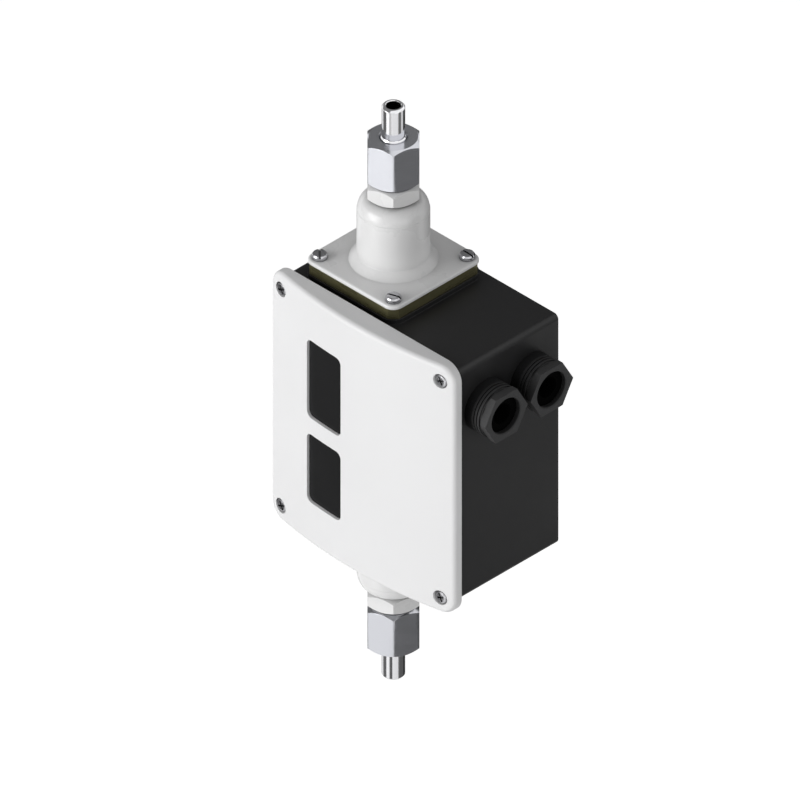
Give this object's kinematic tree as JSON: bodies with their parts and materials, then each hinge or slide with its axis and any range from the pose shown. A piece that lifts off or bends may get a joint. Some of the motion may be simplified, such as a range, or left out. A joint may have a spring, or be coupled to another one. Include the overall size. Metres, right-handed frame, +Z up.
{
  "type": "differential pressure switch",
  "caption": "Differential pressure switch: black housing, white bowed cover with windows, bellows caps with weld nipples above and below, cable glands on the right.",
  "frame": {"origin": "middle of the housing's flat back face, where it meets the wall", "axes": "+Z up along the pressure axis, -Y out of the front cover, +X towards the cable glands"},
  "size_m": [0.1197, 0.0715, 0.2942],
  "materials": {
    "black_housing": "satin moulded thermoset",
    "white_cover": "satin moulded plastic",
    "white_enamel": "semi-gloss paint",
    "olive_plate": "dark olive passivated",
    "nut_steel": "fine turned and milled",
    "polished_steel": "polished",
    "screw_steel": "bright zinc",
    "dark_window": "smoked, glossy",
    "black_gland": "fine matte",
    "black_rubber": "matte",
    "bright_steel": "ground",
    "zinc_steel": "zinc plated",
    "spring_steel": "drawn",
    "brass": "turned",
    "disc_aluminium": "anodised",
    "scale_white": "matte paint",
    "brown_block": "moulded thermoset",
    "washer_aluminium": "soft annealed"
  },
  "bodies": {
    "root": {"housing": "black_housing", "guide_sleeve": "brass", "mechanism_frame": "zinc_steel", "frame_screws": "screw_steel", "lower_guide_bush": "brass", "range_scale": "scale_white", "scale_screw": "screw_steel", "arm_pivot_pin": "bright_steel", "arm_clip": "spring_steel", "switch_block": "brown_block", "block_screws": "screw_steel", "terminal_clamps": "brass", "terminal_screws": "screw_steel", "earth_clamp": "brass", "earth_screw": "screw_steel", "main_spring": "spring_steel", "upper_bellows_cap": "white_enamel", "upper_seal_plate": "olive_plate", "upper_flange_screws": "screw_steel", "upper_connector": "white_enamel", "upper_union_nut": "nut_steel", "upper_weld_nipple": "polished_steel", "upper_nipple_washer": "washer_aluminium", "upper_bellows": "brass", "lower_bellows_cap": "white_enamel", "lower_seal_plate": "olive_plate", "lower_flange_screws": "screw_steel", "lower_connector": "white_enamel", "lower_union_nut": "nut_steel", "lower_weld_nipple": "polished_steel", "lower_nipple_washer": "washer_aluminium", "lower_bellows": "brass", "front_gland_body": "black_gland", "front_gland_nut": "black_gland", "front_gland_seal": "black_rubber", "front_gland_locknut": "black_gland", "rear_gland_body": "black_gland", "rear_gland_nut": "black_gland", "rear_gland_seal": "black_rubber", "rear_gland_locknut": "black_gland"},
    "cover": {"front_cover": "white_cover", "cover_gasket": "black_rubber", "cover_screws": "screw_steel", "upper_window": "dark_window", "lower_window": "dark_window"},
    "spindle": {"main_spindle": "bright_steel", "spring_seat": "zinc_steel", "follower_nuts": "brass"},
    "spring_plate": {"sliding_plate": "zinc_steel"},
    "disc": {"setting_disc": "disc_aluminium"},
    "arm": {"contact_arm": "zinc_steel"},
    "plunger": {"switch_plunger": "white_cover"}
  },
  "joints": [
    {"name": "cover_lift_off", "type": "slide", "parent": "root", "child": "cover", "axis": [0, -1, 0], "range_m": [0, 0.08]},
    {"name": "spindle_travel", "type": "slide", "parent": "root", "child": "spindle", "axis": [0, 0, 1], "range_m": [-0.0012, 0.0012], "stiffness_N_per_m": 20000, "deforming": ["upper_bellows", "lower_bellows", "main_spring"]},
    {"name": "contact_arm_pivot", "type": "hinge", "parent": "root", "child": "arm", "pos_m": [-0.0001, -0.029, -0.0128], "axis": [0, 1, 0], "range_deg": [-3.82, 3.82]},
    {"name": "plunger_travel", "type": "slide", "parent": "root", "child": "plunger", "axis": [0, 0, 1], "range_m": [-0.00133, 0.00133]},
    {"name": "spring_plate_travel", "type": "slide", "parent": "root", "child": "spring_plate", "axis": [0, 0, 1], "range_m": [-0.0121, 0.0051], "deforming": ["main_spring"]},
    {"name": "setting_disc_turn", "type": "hinge", "parent": "spring_plate", "child": "disc", "pos_m": [-0.0181, -0.029, 0.038], "axis": [0, 0, 1], "range_deg": [-2160, 900]}
  ],
  "couplings": [
    {"joint": "contact_arm_pivot", "follows": "spindle_travel", "rad_per_m": 55.556},
    {"joint": "plunger_travel", "follows": "spindle_travel", "ratio": -1.1111},
    {"joint": "spring_plate_travel", "follows": "setting_disc_turn", "m_per_rad": 0.00031831}
  ]
}
